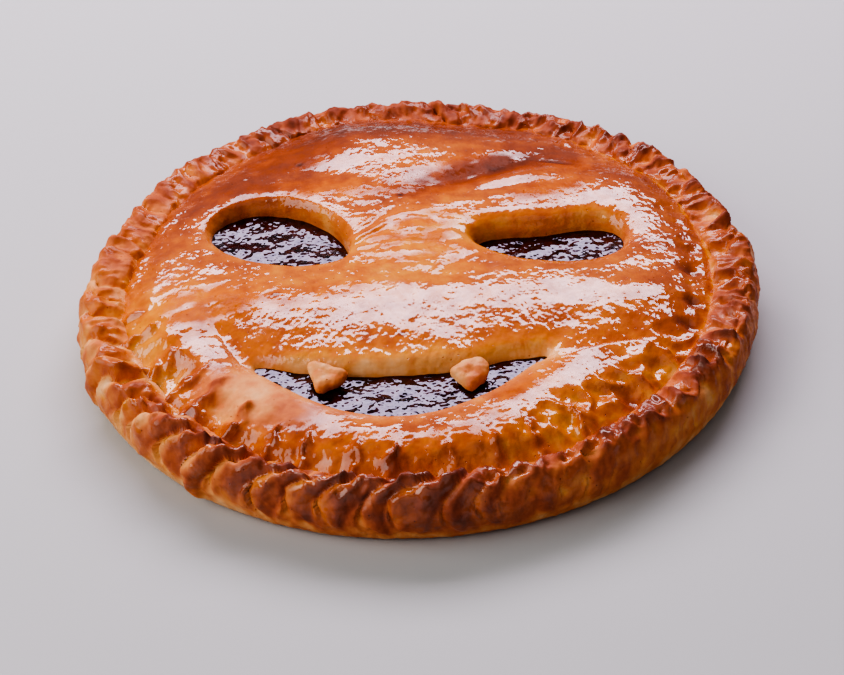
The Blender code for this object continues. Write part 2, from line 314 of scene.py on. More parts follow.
def outline(points):
    """Points of a smooth curve around through the given ones."""
    loop = np.array(points, float)
    found = []
    for i in range(len(loop)):
        corners = [loop[(i + k) % len(loop)] for k in (-1, 0, 1, 2)]
        found += [curve_point(*corners, j / OUTLINE_STEPS) for j in range(OUTLINE_STEPS)]
    return np.array(found)


def away_from(loop, x, y):
    """Distance outside a closed outline, negative inside it, and the direction away from it."""
    start, end = loop, np.roll(loop, -1, axis=0)
    run = end - start
    length = np.sum(run**2, axis=1)
    climb = np.where(run[:, 1] == 0, TINY, run[:, 1])
    distance = np.full_like(x, FAR)
    way = np.zeros((len(x), 2))
    low, high = loop.min(axis=0) - FAR, loop.max(axis=0) + FAR
    near = np.flatnonzero((x > low[0]) & (x < high[0]) & (y > low[1]) & (y < high[1]))
    for first in range(0, len(near), BLOCK):
        part = near[first:first + BLOCK]
        here_x, here_y = x[part, None], y[part, None]
        off_x, off_y = here_x - start[:, 0], here_y - start[:, 1]
        share = np.clip((off_x * run[:, 0] + off_y * run[:, 1]) / length, 0, 1)
        gap_x, gap_y = off_x - share * run[:, 0], off_y - share * run[:, 1]
        size = gap_x**2 + gap_y**2
        rows, best = np.arange(len(part)), np.argmin(size, axis=1)
        crossing = ((off_y < 0) != (here_y < end[:, 1])) & (off_x < run[:, 0] * off_y / climb)
        side = np.where(crossing.sum(axis=1) % 2 == 1, -1.0, 1.0)
        reach = np.sqrt(size[rows, best])
        distance[part] = side * reach
        gap = np.stack([gap_x[rows, best], gap_y[rows, best]], axis=1)
        way[part] = gap * (side / np.maximum(reach, TINY))[:, None]
    return np.minimum(distance, FAR), way


# -------- meshes


def grid_disc(radius, pitch, hole=None):
    """A square grid cut to a disc and its holes, as x, y and quads.

    hole(x, y) gives distances outside the holes and the directions away from them.
    """
    count = math.ceil(radius / pitch)
    line = np.arange(-count, count + 1) * pitch
    x, y = (grid.ravel() for grid in np.meshgrid(line, line, indexing="ij"))
    size = len(line)
    out = np.hypot(x, y) > radius
    if hole:
        depth, way = hole(x, y)
        inside = depth < 0
        out |= inside
    corner = (np.arange(size - 1)[:, None] * size + np.arange(size - 1)[None]).ravel()
    quads = np.stack([corner, corner + size, corner + size + 1, corner + 1], axis=1)
    quads = quads[~out[quads].all(axis=1)]
    if hole:
        x = np.where(inside, x - way[:, 0] * depth, x)
        y = np.where(inside, y - way[:, 1] * depth, y)
    pull = np.minimum(1, radius / np.maximum(np.hypot(x, y), TINY))
    x, y = x * pull, y * pull
    used = np.unique(quads)
    renumber = np.zeros(size * size, int)
    renumber[used] = np.arange(len(used))
    return x[used], y[used], renumber[quads]


def wrapped_quads(rows, along):
    """Quads over rows of points, so many along each, whose last row meets the first."""
    points = np.arange(rows * along).reshape(rows, along)
    after = np.roll(points, -1, axis=0)
    return np.stack([points[:, :-1], points[:, 1:], after[:, 1:], after[:, :-1]], axis=2).reshape(-1, 4)


def placed(name, data):
    """A new object in the scene."""
    made = bpy.data.objects.new(name, data)
    bpy.context.scene.collection.objects.link(made)
    return made


def mesh_piece(name, x, y, z, quads, attributes, finish):
    """A smooth mesh object from arrays in millimetres. A quad that ends in -1 is a triangle."""
    mesh = bpy.data.meshes.new(name)
    points = np.stack([x, y, z], axis=1) * MM
    mesh.vertices.add(len(points))
    mesh.vertices.foreach_set("co", points.ravel())
    real = quads >= 0
    corners = real.sum(axis=1)
    mesh.loops.add(int(corners.sum()))
    mesh.loops.foreach_set("vertex_index", quads[real])
    mesh.polygons.add(len(quads))
    mesh.polygons.foreach_set("loop_start", np.cumsum(corners) - corners)
    mesh.update(calc_edges=True)
    mesh.validate()
    for key, values in attributes.items():
        layer = mesh.attributes.new(key, "FLOAT", "POINT")
        layer.data.foreach_set("value", values.astype(np.float32))
    mesh.shade_smooth()
    mesh.materials.append(finish)
    return placed(name, mesh)


# -------- the top crust


def dented(x, y):
    """Depth of the thumb dents, and how brown the ridges between them are (0 to 1)."""
    radius, angle = polar_of(x, y)
    points = flat_points(x, y)
    degrees = np.remainder(np.degrees(angle), 360)
    front = eased(*FRONT_STARTS, degrees) * (1 - eased(*FRONT_STOPS, degrees))
    middle, bowls = facing(angle, DENT_MIDDLE), facing(angle, BOWL_RIDGES)

    # Each dent's size and how far in it lies, and the height, width and browning of the ridge after it.
    angles = uneven_angles(DENTS, DENT_UNEVENNESS, seed=5)
    even = facing(angles[1:], EVEN_RIDGES)
    draw = np.random.default_rng(23)
    size = draw.uniform(0.7, 1.2, DENTS)
    inward = draw.uniform(-3.0, 2.5, DENTS)
    stand = draw.uniform(0.3, 1.1, DENTS) * (1 - 0.5 * even) + 0.65 * even
    width = draw.uniform(0.20, 0.36, DENTS) + 0.16 * even
    brown = draw.uniform(0.0, 1.0, DENTS) * (1 - 0.5 * even) + 0.1 * even

    wander = 0.020 * bumps(points, 16, 51) + 0.014 * bumps(points, 6, 52)
    index, share = position_in(angles, angle + wander)
    ridge_at = np.where(share > 0.5, index, index - 1)
    across = np.abs(2 * share - 1)
    edge = DENT_EDGE + 6.5 * front + 3 * middle - 12 * facing(angle, BOWLS)
    past = radius - edge - inward[index] + 5 * front * across**2
    past = past - 3.0 * bumps(points, 13, 53) - 1.4 * bumps(points, 5, 54)
    rim = eased(-3 - 3 * front, 9 + 3 * front, past)
    ridge = front * stand[ridge_at] * hump(1 - across, 0, width[ridge_at]) * eased(-3, 3, past)
    ridge_gap = 0.85 * ridge * (1 + 0.7 * bumps(points, 5, 55))
    depth = (DENT_DEPTH + (FRONT_DENT_DEPTH - 2.2 * middle) * front * eased(107, 119, radius)) * size[index]
    lumps = 0.9 * front * layered(points, (7, 7, 1), 56, 2)
    depth += lumps + 0.16 * front * layered(points, (3.6, 3.2, 1), 58, 2)
    stands = (0.5 + 1.9 * hump(past, 4, 3) * (1 - 0.4 * bowls)) * ridge
    crumple = 1.3 * facing(angle, CRUMPLED_LID) * eased(108, 118, radius) * ridged(points, 15, 57)
    return depth * rim * (1 - ridge_gap) - stands - crumple, ridge * brown[ridge_at] * (1 - 0.1 * bowls)


def beside(line, x, y):
    """Distance from an open line, positive on its left, and 1 along it that fades towards its ends."""
    points = np.array(line, float)
    start, run = points[:-1], np.diff(points, axis=0)
    length = np.sum(run**2, axis=1)
    best = np.full_like(x, np.inf)
    side = np.ones_like(x)
    share = np.zeros_like(x)
    for i in range(len(run)):
        off_x, off_y = x - start[i, 0], y - start[i, 1]
        along = np.clip((off_x * run[i, 0] + off_y * run[i, 1]) / length[i], 0, 1)
        size = np.hypot(off_x - along * run[i, 0], off_y - along * run[i, 1])
        nearer = size < best
        best = np.where(nearer, size, best)
        side = np.where(nearer, np.sign(run[i, 0] * off_y - run[i, 1] * off_x), side)
        share = np.where(nearer, (i + along) / len(run), share)
    return best * side, np.sin(math.pi * np.clip(share, 0.03, 0.97)) ** 0.6


def folded(x, y):
    """The sum of the folds' heights at each point."""
    total = np.zeros_like(x)
    for fold in FOLDS:
        aside, fade = beside(fold.line, x, y)
        left = 0.5 + 0.5 * np.tanh(aside / 0.9)
        size = np.abs(aside)
        rise = left * fold.left * np.exp(-((size / fold.left_width) ** 1.5))
        rise += (1 - left) * fold.right * np.exp(-((size / fold.right_width) ** 1.5))
        total += fade * rise
    return total


def top_surface(x, y):
    """Height of the top crust without its lips and wrinkles."""
    radius, angle = polar_of(x, y)
    fall = (np.minimum(radius, SEAM_RADIUS) / SEAM_RADIUS) ** DOME_SHOULDER
    height = SEAM_HEIGHT + (DOME_HEIGHT - SEAM_HEIGHT) * (1 - fall)
    height += swelled(x, y, FACE_SWELLS) + folded(x, y)
    # The lid dips into the seam with the rope, except along the back.
    height -= 2.2 * eased(126, 135, radius) * (1 - facing(angle, BACK))
    return height - dented(x, y)[0]


LID_BAKED = 0.47  # how brown the lid is between its patches
BROWNED_AND_SHADED_PATCHES = (  # where it is browner, or more golden if below zero; the darker slit, marks and pits are painted shade
    Swell(0, 116, 95, 18, 0, 0.29),  # along the back
    Swell(34, 70, 40, 10, 22, 0.35),  # furrow
    Swell(75, 70, 45, 16, -25, 0.10),  # right of the forehead
    Swell(112, -10, 16, 50, 0, 0.08),  # right temple
    Swell(-72, 76, 48, 20, 30, 0.26),  # above the left eye
    Swell(0, 8, 34, 32, 0, -0.10),  # nose
    Swell(-50, -14, 50, 12, 0, -0.09),  # under the left eye
    Swell(-10, -68, 50, 9, 0, -0.12),  # upper lip
    Swell(45, -72, 16, 9, 20, -0.14),  # the upper lip's right end
    Swell(-114, -26, 14, 42, 0, -0.14),  # left edge
    Swell(-72, -86, 20, 11, -38, -0.26),  # left of the lower lip
    Swell(69, 75, 8, 1.5, -22, 0.26),  # slit, darkened as painted shade
    Swell(86, -97, 6, 3, -48, 0.3),  # finger mark, darkened as painted shade
    Swell(120, -14, 4, 2.6, -12, 0.22),  # thumb marks, darkened as painted shade
    Swell(118, -36, 4, 2.6, -20, 0.22),
    Swell(114, -50, 4, 2.6, -26, 0.22),
    Swell(-5, 50, 1.6, 1.1, 0, 0.5),  # pits, dark spots of painted shade
    Swell(-61, -24, 1.6, 1.1, 0, 0.4),
    Swell(-7, -55, 1.5, 1.1, 0, 0.5),
    Swell(-52, 84, 1.8, 1.2, 0, 0.3),
)
BARE_PATCHES = (  # where the glaze was not brushed on
    Swell(-72, -85, 22, 10, -38, 2.0),  # left of the lower lip
    Swell(-30, -70, 40, 6, -4, 0.15),  # upper lip
    Swell(-60, -94, 14, 7, -30, 1.0),  # under the mouth's left end
)
DULL_PATCHES = (  # where it has dried dull
    Swell(30, 67, 29, 8, 26, 1.6),  # furrow
    Swell(-62, 88, 24, 12, 20, 0.8),  # above the left eye
    Swell(62, 74, 20, 5, -14, 0.8),  # right of the forehead
    Swell(48, 72, 34, 8, -4, 1.5),  # above the right brow
    Swell(64, 48, 18, 8, 15, 1.2),  # in the right brow
    Swell(-48, 93, 16, 9, 0, 1.2),  # left of the forehead
    Swell(-64, 63, 34, 7, -8, 0.8),  # along the left eye's back
    Swell(42, -91, 22, 5, 40, 1.2),  # right of the lower lip
    Swell(-28, 60, 26, 7, -8, 0.9),  # between the left eye and the forehead
    Swell(-58, 100, 20, 10, 30, 0.7),  # back left
    Swell(-92, -24, 22, 12, 8, 1.6),  # left cheek
    Swell(-38, -24, 22, 6, 10, 0.8),  # under the left eye
    Swell(4, 12, 30, 26, 0, 0.85),  # nose
)
STREAKED_NOSE = Swell(0, 22, 34, 26, 0, 1)
WRINKLED_BARE_PATCH = Swell(-76, -88, 24, 14, 0, 1)


def wrinkles(x, y):
    """The fine relief of baked dough."""
    radius, angle = polar_of(x, y)
    points = flat_points(x, y)
    fine = 0.42 * layered(points, (24, 22, 1), 60, 2)
    fine += 0.20 * layered(points, (9, 11, 1), 61, 2)
    fine += 0.065 * layered(points, (3.8, 4.8, 1), 64, 2, 0.6)
    fine += swelled(x, y, [STREAKED_NOSE]) * 0.70 * layered(points, (16, 6, 1), 65, 2)
    temple = facing(angle, LEFT_TEMPLE) * eased(70, 92, radius)
    fine += temple * (0.55 * layered(points, (15, 11, 1), 62, 2) + 0.05 * layered(points, (4.4, 4, 1), 63, 2))
    fine += swelled(x, y, [WRINKLED_BARE_PATCH]) * 0.28 * layered(points, (6, 9, 1), 67, 2)
    edge = 1 + bumps(points, 30, 68)
    return fine + 0.7 * edge * eased(110, 126, radius) * layered(points, 9, 66, 3, 0.6)


def sunk(opening, distance, way):
    """How far the crust sinks at a distance from an opening, less the hem that stands up along its back."""
    back = 0.5 + 0.5 * way[:, 1]
    back_part = opening.back_sag * np.clip(1 - distance / opening.back_reach, 0, 1) ** 2
    front_part = opening.front_sag * np.clip(1 - distance / opening.front_reach, 0, 1) ** 1.6
    hem = opening.hem * eased(0.55, 0.9, back) * hump(distance, opening.back_radius, 1.5)
    return back * back_part + (1 - back) * front_part - hem


def lipped(x, y, found):
    """Places and heights of grid points once the openings' lips are rolled down to the jam."""
    height = np.full_like(x, np.nan)
    new_x, new_y = x.copy(), y.copy()
    sag = np.zeros_like(x)
    nearest = np.full_like(x, FAR)
    for opening, (distance, way) in zip(OPENINGS, found):
        near = distance < LIP_GRID_REACH
        sag += np.where(near, 0, sunk(opening, distance, way))
        nearest = np.minimum(nearest, distance)
        off, (way_x, way_y) = distance[near], way[near].T
        foot_x, foot_y = x[near] - off * way_x, y[near] - off * way_y
        back = 0.5 + 0.5 * way_y
        roll = opening.front_radius + (opening.back_radius - opening.front_radius) * back
        top = top_surface(foot_x + way_x * roll, foot_y + way_y * roll)
        top -= sunk(opening, roll, way[near])
        # The grid's lines around the opening are spread over a straight wall, a quarter turn and the rest.
        wall = np.maximum(top - (JAM_HEIGHT - LIP_FOOT_DEPTH) - roll, 0.5)
        arc = roll * math.pi / 2
        gain = wall + arc - roll
        along = (off + LIP_GRID_INSIDE) * (LIP_GRID_REACH + gain) / (LIP_GRID_REACH + LIP_GRID_INSIDE)
        turn = np.clip((along - wall) / roll, 0, math.pi / 2)
        out = roll * (1 - np.cos(turn)) + np.maximum(along - wall - arc, 0)
        drop = roll * (1 - np.sin(turn)) + np.maximum(wall - along, 0)
        new_x[near], new_y[near] = foot_x + way_x * out, foot_y + way_y * out
        lid = top_surface(new_x[near], new_y[near])
        height[near] = lid - sunk(opening, np.maximum(out, 0), way[near]) - drop
    flat = np.isnan(height)
    height[flat] = top_surface(x[flat], y[flat]) - sag[flat]
    return new_x, new_y, height, nearest


def lid_browning_and_shade(x, y, distance):
    """How brown each point of the lid is, at a distance from the nearest opening, with painted shade at the
    foot of the lips and in small marks.
    """
    radius, angle = polar_of(x, y)
    points = flat_points(x, y)
    depth, ridge = dented(x, y)
    bake_and_shade = (
        LID_BAKED
        - 0.09 * facing(angle, CRUMPLED_LID) * eased(100, 118, radius)
        + 0.07 * layered(points, 34, 91)
        + 0.06 * layered(points, 9, 95)
        + swelled(x, y, BROWNED_AND_SHADED_PATCHES)
    )
    bake_and_shade += 0.05 * eased(95, 120, radius) - 0.026 * depth + 0.30 * ridge
    pale_seam = np.exp(-((angle - 0.15) ** 2))  # on the right
    bake_and_shade -= 0.30 * pale_seam * eased(128, 131, radius + 2 * bumps(points, 9, 96))
    by_mouth = eased(MOUTH_FROM, MOUTH_TO, y)
    lip = (1 - eased(1, 12, distance + 2 * bumps(points, 7, 94))) * eased(-2, 1, distance)
    bake_and_shade -= (0.10 + 0.05 * by_mouth) * lip
    # Painted shade darkens the foot of the lips, where they meet the jam, more along the mouth.
    bake_and_shade += (0.05 + 0.11 * by_mouth) * eased(0.4, -2.2, distance + 0.6 * bumps(points, 5, 92))
    return bake_and_shade


def lid_glaze(x, y, distance):
    """How thick the glaze on the lid is, and how much of it shines, 0 to 1."""
    radius, angle = polar_of(x, y)
    points = flat_points(x, y)
    lower_lip = 3 * eased(-62, -76, y)
    glaze = 0.4 + 0.6 * eased(1.5 + lower_lip, 8 + lower_lip, distance + 1.5 * bumps(points, 8, 98))
    glaze *= eased(-2, 4, distance)
    glaze *= np.clip(1 - swelled(x, y, BARE_PATCHES), 0, 1)
    dull = swelled(x, y, DULL_PATCHES) + 0.45 * facing(angle, DULL_LID) * eased(110, 120, radius)
    dull *= 1 + 1.1 * layered(points, (14, 7, 1), 88)
    return glaze, glaze * (1 - np.clip(dull, 0, 0.97))


def top_crust(finish):
    outlines = [outline(opening.outline) for opening in OPENINGS]

    def hole(x, y):
        found = [away_from(loop, x, y) for loop in outlines]
        first = np.argmin([distance for distance, _ in found], axis=0)
        rows = np.arange(len(x))
        distance = np.array([distance for distance, _ in found])[first, rows]
        way = np.array([way for _, way in found])[first, rows]
        return distance + LIP_GRID_INSIDE, way

    x, y, quads = grid_disc(SEAM_RADIUS + LID_OVERLAP, LID_PITCH, hole)
    found = [away_from(loop, x, y) for loop in outlines]
    x, y, height, distance = lipped(x, y, found)
    z = height + wrinkles(x, y) * eased(-2, 7, distance)
    glaze, shine = lid_glaze(x, y, distance)
    values = {"bake_and_shade": lid_browning_and_shade(x, y, distance), "glaze": glaze, "shine": shine}
    x, y = out_of_round(x, y)
    return mesh_piece("top_crust_baked", x, y, z, quads, values, finish)


# -------- the bottom crust

# Radius and height from the seam over the crest to the foot.
ROPE_PROFILE = (
    (131.0, 20.5), (134.5, 22.6), (138.5, 25.6), (142.0, CREST_HEIGHT), (145.4, CREST_HEIGHT),
    (148.2, 24.6), (149.9, 18.8), (PIE_RADIUS, 12.0), (148.2, 5.4), (145.6, 1.2), (142.0, 0.0),
)
PROFILE_STEP = 0.02  # of the stretch between two points

PLUMP_TOP = 0.34  # where across a fold its top lies
PLUMP_END = 1.06  # where it ends, in the next fold
POINT_TOP = 0.8  # where across a fold its point stands
LEAN = (  # how far the folds have leant, in folds, by share of the way from the seam to the foot
    (0.0, 1.5), (0.15, 1.3), (0.26, 1.0), (0.35, 0.5), (0.45, 0.16), (0.56, 0.0), (0.70, 0.06), (0.82, 0.3),
    (1.0, 0.5),
)
UNDERSIDE_BAKED = 0.3


def smooth_profile(points, count):
    """count points evenly along a smooth curve through the given ones, with their outward normals."""
    loop = np.array(points, float)
    ends = np.vstack([2 * loop[0] - loop[1], loop, 2 * loop[-1] - loop[-2]])
    shares = np.arange(0, 1, PROFILE_STEP)
    found = [curve_point(*ends[i - 1:i + 3], share) for i in range(1, len(ends) - 2) for share in shares]
    found = np.array(found + [loop[-1]])
    steps = np.linalg.norm(np.diff(found, axis=0), axis=1)
    length = np.append(0, np.cumsum(steps))
    at = np.linspace(0, length[-1], count)
    even = np.stack([np.interp(at, length, found[:, k]) for k in (0, 1)], axis=1)
    run = np.gradient(even, axis=0)
    normal = np.stack([-run[:, 1], run[:, 0]], axis=1)
    normal /= np.linalg.norm(normal, axis=1)[:, None]
    return even, normal, at / length[-1]


def rope_grid():
    """The rope's points before they are shaped, and how much each belongs to the parts of the rope."""
    even, normal, share = smooth_profile(ROPE_PROFILE, ROPE_ALONG)
    angle = np.repeat(np.linspace(0, 2 * math.pi, ROPE_ROUND, endpoint=False), ROPE_ALONG)
    down = np.tile(share, ROPE_ROUND)
    radius, height = (np.tile(even[:, k], ROPE_ROUND) for k in (0, 1))
    place = np.stack([radius * np.cos(angle), radius * np.sin(angle), height], axis=1)
    return SimpleNamespace(
        angle=angle,
        down=down,  # 0 at the seam, 1 at the foot
        radius=radius,
        height=height,
        normal_out=np.tile(normal[:, 0], ROPE_ROUND),
        normal_up=np.tile(normal[:, 1], ROPE_ROUND),
        place=place,
        wall=eased(0.32, 0.46, down),
        crest=hump(down, 0.27, 0.10),
        crumple=ridged(place, 12, 81),
        **{name: facing(angle, sector) for name, sector in ROPE_SECTORS.items()},
    )


def plump(across):
    """The round form of a fold, 1 at its top. across runs 0 to 1 over the fold."""
    off = np.abs(across - PLUMP_TOP) / np.where(across < PLUMP_TOP, PLUMP_TOP, PLUMP_END - PLUMP_TOP)
    return np.clip(1 - off**2.2, 0, 1) ** 0.75


def pointed(across):
    """The form of the point that a fold ends in at the crest."""
    return np.clip(across / POINT_TOP, 0, 1) ** 1.5 * (1 - eased(POINT_TOP, 1.12, across))


def over_folds(form, sizes, index, across):
    """A form over every fold, times the fold's size. The fold before reaches in a little."""
    return np.maximum(sizes[index] * form(across), sizes[index - 1] * form(across + 1))


def leaning_folds(rope, draw):
    """Folds that lean along the front and the left, each a round lobe that ends in a pinched point."""
    turn = 2 * math.pi / PLEATS
    lean = np.interp(rope.down, *np.transpose(LEAN)) * turn * (0.25 + 0.85 * rope.leaning)
    warp = 0.020 * bumps(rope.place, 15, 71) + 0.005 * bumps(rope.place, 6, 72)
    warp += 0.035 * (1 - rope.front_left) * bumps(rope.place, 16, 70)
    angles = uneven_angles(PLEATS, PLEAT_UNEVENNESS, seed=3)
    index, across = position_in(angles, rope.angle - lean + warp)
    size = draw.uniform(0.62, 1.25, PLEATS)
    tip = draw.uniform(0.2, 1.5, PLEATS)
    dark = draw.uniform(0.2, 1.2, PLEATS)

    # The folds fade into the seam and above the foot, and are nearly smooth along the back and the right.
    ends = 0.84 + draw.uniform(-0.05, 0.04, PLEATS)[index] - 0.20 * (2 * across - 0.8) ** 2
    window = eased(0.02, 0.16, rope.down) * (1 - eased(ends - 0.10, ends + 0.02, rope.down))
    smooth = np.clip(0.9 * rope.front_right * rope.wall + 0.9 * rope.right + 0.8 * rope.back, 0, 0.95)
    amount = (1.8 + 6.6 * rope.front_left + 2.0 * rope.left * (1 - rope.wall)) * (1 - smooth)
    amount *= 1 - 0.3 * rope.left * rope.wall
    amount *= (1 - 0.35 * rope.front_left * rope.crest) * (1 - 0.35 * rope.middle)
    bulge = over_folds(plump, size, index, across)
    point = over_folds(pointed, tip, index, across)
    lifted = 0.4 + 3.4 * rope.front_left + 1.8 * rope.front_right

    # In these coordinates the folds stand upright, so that streaks can run along them.
    combed = rope.angle - lean
    upright = np.stack([PIE_RADIUS * np.cos(combed), PIE_RADIUS * np.sin(combed), 60 * rope.down], axis=1)
    return SimpleNamespace(
        across=across,
        window=window,
        bulge=bulge,
        out=amount * (bulge - 0.78) * window,
        lift=lifted * point * rope.crest * (1 - 0.8 * rope.right),
        shown=window * (1 - smooth),
        dark_tip=np.clip(dark[index] * point * rope.crest, 0, 1.2),
        crease=hump(across, 0, 0.12) + hump(1 - across, 0, 0.07),
        streak=layered(upright, (6, 6, 24), 73, 2, 0.6),
        pinched=ridged(upright, (5, 5, 24), 77, 1) * hump(rope.down, 0.24, 0.10),
    )


def knobs(rope, draw):
    """How far broad knobs stand out along the right and the back."""
    slant = 0.28 * (rope.down - 0.2) + 0.040 * bumps(rope.place, 13, 74) + 0.022 * bumps(rope.place, 6, 75)
    angles = uneven_angles(KNOBS, KNOB_UNEVENNESS, seed=31)
    index, across = position_in(angles, rope.angle - slant)
    size = draw.uniform(0.5, 1.3, KNOBS)[index]
    pillow = np.sqrt(np.clip(1 - np.abs(2 * across - 1) ** 2.4, 0, 1)) * size
    amount = 2.8 * rope.right + 2.6 * rope.back + 0.8 * rope.front_right * rope.crest
    return amount * (pillow - 0.7) * eased(0.0, 0.14, rope.down) * (1 - eased(0.5, 0.8, rope.down))


def rope_shape(rope, folds, out):
    """Radius and height of the rope's points, given how far the folds and knobs stand out."""
    down, crest, place = rope.down, rope.crest, rope.place
    rough = (
        0.25
        + 0.75 * crest * (0.5 + 0.8 * rope.front_right + 0.4 * rope.front_left + 0.1 * rope.back)
        + 0.4 * rope.right * (1 - rope.wall)
    )
    rough *= eased(0.03, 0.14, down) * (1 - eased(0.5, 0.8, down))
    out += rough * (1.8 * rope.crumple + (0.6 - 0.2 * rope.front_left) * ridged(place, 5.5, 84))
    out += (
        0.3 * folds.pinched * (0.4 + rope.front_left)
        + 0.5 * folds.streak * folds.window
        + 0.32 * layered(place, 3.4, 85)
        + 0.4 * layered(place, 7, 86, 2) * folds.window
    )
    inner = (1 - rope.front) * (1 - eased(0.14, 0.30, down))
    radius = (
        rope.radius
        - (5.5 - 2.5 * rope.back) * inner
        + rope.normal_out * out
        - 0.35 * folds.lift
        + 1.5 * crest * layered(place, 17, 87, 2)
    )
    rolling = 1.1 * bumps(place, 40, 88) * eased(8, 26, rope.height)
    raised = (2.2 * (1 - rope.front) - 2.0 * rope.back) * hump(down, 0.13, 0.08)
    height = rope.height + raised - 1.0 * rope.back * crest
    return radius, np.maximum(height + rope.normal_up * out + folds.lift + rolling, 0)


def rope_browning_and_shade(rope, folds, height, ragged):
    """How brown each point of the rope is, with painted light and shade on the folds and along the front
    wall. Its pale foot has a ragged edge.
    """
    place, crest, wall, middle, right = rope.place, rope.crest, rope.wall, rope.middle, rope.right
    bake_and_shade = (
        0.21
        + 0.19 * eased(3, 11, height + ragged)
        + 0.05 * layered(place, 18, 97)
        + (0.05 + 0.07 * rope.back + 0.07 * right) * layered(place, 7, 93)
    )
    # Along the middle of the front the wall is darker, partly browner crust and partly painted shade.
    bake_and_shade += (
        0.13 * middle * wall
        + 0.03 * middle
        - 0.05 * rope.pale_folds
        - 0.16 * rope.pale_left
        + 0.13 * rope.back
        + 0.06 * rope.brown_right
        + 0.05 * right
    )
    # The folds' bodies, the creases between them and their tips. Along the front-left each body is paler on
    # its left and browner to its right: partly less browned edges, partly painted light from the left and
    # painted shade on the right.
    body_browning_and_side_light = 0.33 * eased(0.05, 0.6, folds.across) - 0.15
    bake_and_shade += (0.11 * (1 - rope.front_left) * (2 * folds.bulge - 1) + rope.front_left * body_browning_and_side_light) * folds.shown
    # High on the wall the creases are darkened as painted shade; low down they are paler dough.
    bake_and_shade += folds.crease * folds.shown * (0.18 * eased(5, 17, height) - 0.12)
    bake_and_shade -= 0.12 * folds.crease * rope.front_right * wall * folds.window
    front = np.maximum(rope.front, rope.front_right)
    bake_and_shade += 0.20 * folds.dark_tip * (1 - 0.8 * right) * (0.3 + 0.7 * front)
    bake_and_shade += (0.06 + 0.10 * rope.front_right) * crest + 0.06 * folds.streak
    crumpled = 0.05 + 0.13 * crest * np.maximum(rope.front_right, right)
    bake_and_shade += crumpled * rope.crumple * eased(0.05, 0.2, rope.down)
    # The seam on the right is pale.
    bake_and_shade -= 0.26 * right * (1 - eased(0.04, 0.12, rope.down + 0.03 * bumps(place, 8, 92)))
    return bake_and_shade


def rope_glaze(rope, folds, height, ragged):
    """How thick the glaze on the rope is, and how much of it shines, 0 to 1."""
    glaze = 0.60 + 0.25 * rope.front_left * folds.bulge
    glaze = glaze * eased(5, 13, height + ragged) * eased(-0.5, 0.3, bumps(rope.place, 9, 99))
    polish = 1.2 - 0.9 * rope.left - 0.7 * rope.back - 0.4 * rope.right - 0.7 * rope.front_right * rope.wall
    return glaze, np.clip(polish * glaze, 0, 1)


def bottom_crust(finish):
    rope = rope_grid()
    draw = np.random.default_rng(11)
    folds = leaning_folds(rope, draw)
    radius, height = rope_shape(rope, folds, folds.out + knobs(rope, draw))
    ragged = 4 * bumps(rope.place, 16, 90) + 1.5 * bumps(rope.place, 6, 89)
    bake_and_shade = rope_browning_and_shade(rope, folds, height, ragged)
    glaze, shine = rope_glaze(rope, folds, height, ragged)
    x, y = out_of_round(radius * np.cos(rope.angle), radius * np.sin(rope.angle))
    quads = wrapped_quads(ROPE_ROUND, ROPE_ALONG)
    # The flat underside is a fan to one middle point, which is added to the end of every array.
    rim = np.arange(ROPE_ROUND) * ROPE_ALONG + ROPE_ALONG - 1
    fan = np.stack([rim, np.full(ROPE_ROUND, len(x)), np.roll(rim, -1), np.full(ROPE_ROUND, -1)], axis=1)
    x, y, z, glaze, shine = (np.append(values, 0) for values in (x, y, height, glaze, shine))
    values = {"bake_and_shade": np.append(bake_and_shade, UNDERSIDE_BAKED), "glaze": glaze, "shine": shine}
    return mesh_piece("bottom_crust_baked", x, y, z, np.vstack([quads, fan]), values, finish)


# -------- jam and fangs

JAM_LOWERED = 0.2  # to leave room for its waves
JAM_SLOPE_RADIUS = 100  # beyond it the jam sinks under the lid, over a run
JAM_SLOPE_RUN = 21
JAM_SLOPE_DROP = 6


def jam(finish):
    x, y, quads = grid_disc(DISH_RADIUS - 1, JAM_PITCH)
    points = flat_points(x, y)
    z = JAM_HEIGHT - JAM_LOWERED + 0.70 * layered(points, (14, 10, 1), 101, 2)
    z += 0.20 * layered(points, (4.2, 3.8, 1), 104, 2)
    z -= JAM_SLOPE_DROP * np.clip((np.hypot(x, y) - JAM_SLOPE_RADIUS) / JAM_SLOPE_RUN, 0, 1)
    return mesh_piece("jam_surface", x, y, z, quads, {}, finish)


FANG_HALF_THICKNESS = 3.1
FANG_HEIGHT = 28.8
FANG_TILT = 0.22
FANG_RINGS = 44
FANG_STEPS = 120
FANG_ROUNDING = 14  # times its outline is smoothed
FANG_DIMPLE = Swell(0, -1, 2.5, 2.5, 0, 0.9)
LEFT_FANG = ((-48, -65.5), (-38, -69), (-29, -73.5), (-34, -78.5), (-43.5, -83))
RIGHT_FANG = ((11, -76.5), (17, -71.5), (24.5, -69.5), (29, -74), (26, -81), (20, -87), (16.5, -82.5))


def crossed(first, second):
    """The cross product of flat directions."""
    return first[..., 0] * second[..., 1] - first[..., 1] * second[..., 0]


def fang_edge(loop, middle, way):
    """How far a rounded outline lies from its middle in each direction."""
    start, run = loop - middle, np.roll(loop, -1, axis=0) - loop
    way = way[:, None]
    cross = crossed(way, run)
    cross = np.where(np.abs(cross) < TINY, TINY, cross)
    reach, along = crossed(start, run) / cross, crossed(start, way) / cross
    hit = (reach > 0) & (along >= -TINY) & (along <= 1 + TINY)
    edge = np.where(hit, reach, np.inf).min(axis=1)
    for _ in range(FANG_ROUNDING):
        edge = 0.5 * edge + 0.25 * (np.roll(edge, 1) + np.roll(edge, -1))
    return edge


